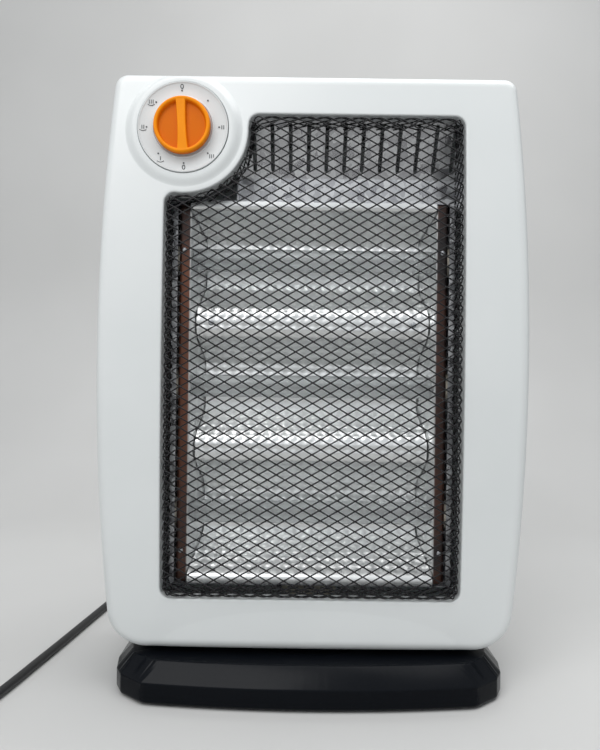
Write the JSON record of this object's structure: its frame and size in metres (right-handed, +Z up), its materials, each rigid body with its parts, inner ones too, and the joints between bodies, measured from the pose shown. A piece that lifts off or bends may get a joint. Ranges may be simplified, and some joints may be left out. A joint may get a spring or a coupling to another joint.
{
  "type": "halogen heater",
  "caption": "Free-standing electric heater: quartz tubes before a ridged reflector, wire guard, moulded housing with a rotary dial, swinging on a flat base, with a mains cord.",
  "frame": {"origin": "on the ground under the vertical axis on which the housing swings", "axes": "+Z up, +Y towards the back, +X to the right seen from the front; the tubes face -Y"},
  "size_m": [0.4885, 0.3475, 0.445],
  "materials": {
    "white_shell": "glossy white moulded plastic",
    "black_gloss": "glossy black moulded plastic",
    "dark_plastic": "plain black plastic",
    "foot_rubber": "matte black rubber",
    "cord_rubber": "black cord sheath",
    "dial_ring": "pale plastic ring",
    "orange_knob": "orange plastic",
    "guard_wire": "black painted wire",
    "zinc_plate": "galvanised sheet",
    "reflector_sheet": "bright embossed sheet",
    "steel": "plain steel",
    "plug_pin": "nickel plated",
    "brass": "turned brass",
    "quartz": "satin quartz",
    "filament": "coiled resistance wire",
    "ceramic": "cream ceramic"
  },
  "bodies": {
    "base": {"base_shell": "black_gloss", "base_plate": "dark_plastic", "foot_front_left": "foot_rubber", "foot_front_right": "foot_rubber", "foot_rear_left": "foot_rubber", "foot_rear_right": "foot_rubber", "bearing_washer": "dark_plastic", "oscillation_motor": "zinc_plate", "tip_switch": "dark_plastic", "strain_relief": "cord_rubber", "supply_lead": "cord_rubber", "cord": "cord_rubber", "cord_coil": "cord_rubber", "plug": "cord_rubber", "plug_pin_left": "plug_pin", "plug_pin_right": "plug_pin"},
    "crank": {"drive_crank": "steel"},
    "plunger": {"tip_plunger": "dark_plastic"},
    "housing": {"front_panel": "white_shell", "rear_cover": "white_shell", "dial_plate": "dial_ring", "guard_mesh": "guard_wire", "guard_border_left": "guard_wire", "guard_border_right": "guard_wire", "guard_border_top": "guard_wire", "guard_border_bottom": "guard_wire", "guard_border_dial": "guard_wire", "vent_plate": "zinc_plate", "heat_shield": "zinc_plate", "reflector": "reflector_sheet", "reflector_end_left": "reflector_sheet", "reflector_end_right": "reflector_sheet", "tube_top": "quartz", "tube_middle": "quartz", "tube_bottom": "quartz", "filament_top": "filament", "filament_middle": "filament", "filament_bottom": "filament", "holder_top_left": "ceramic", "holder_top_right": "ceramic", "holder_middle_left": "ceramic", "holder_middle_right": "ceramic", "holder_bottom_left": "ceramic", "holder_bottom_right": "ceramic", "turntable": "black_gloss", "retaining_ring": "steel", "drive_yoke": "steel", "rotary_switch": "dark_plastic", "terminal_block": "ceramic", "thermal_cutout": "ceramic", "switch_lead": "cord_rubber"},
    "knob": {"control_knob": "orange_knob", "switch_shaft": "brass"}
  },
  "joints": [
    {"name": "housing_swing", "type": "hinge", "parent": "base", "child": "housing", "pos_m": [0, 0, 0.03], "axis": [0, 0, 1], "range_deg": [-30, 30]},
    {"name": "crank_turn", "type": "hinge", "parent": "base", "child": "crank", "pos_m": [0, -0.046, 0.018], "axis": [0, 0, 1], "range_deg": [-120, 120]},
    {"name": "knob_turn", "type": "hinge", "parent": "housing", "child": "knob", "pos_m": [-0.094, -0.076, 0.403], "axis": [0, 1, 0], "continuous": true},
    {"name": "plunger_slide", "type": "slide", "parent": "base", "child": "plunger", "axis": [0, 0, -1], "range_m": [0, 0.005], "stiffness_N_per_m": 60, "springref_m": 0.008}
  ],
  "couplings": [
    {"joint": "crank_turn", "follows": "housing_swing", "ratio": 4}
  ]
}
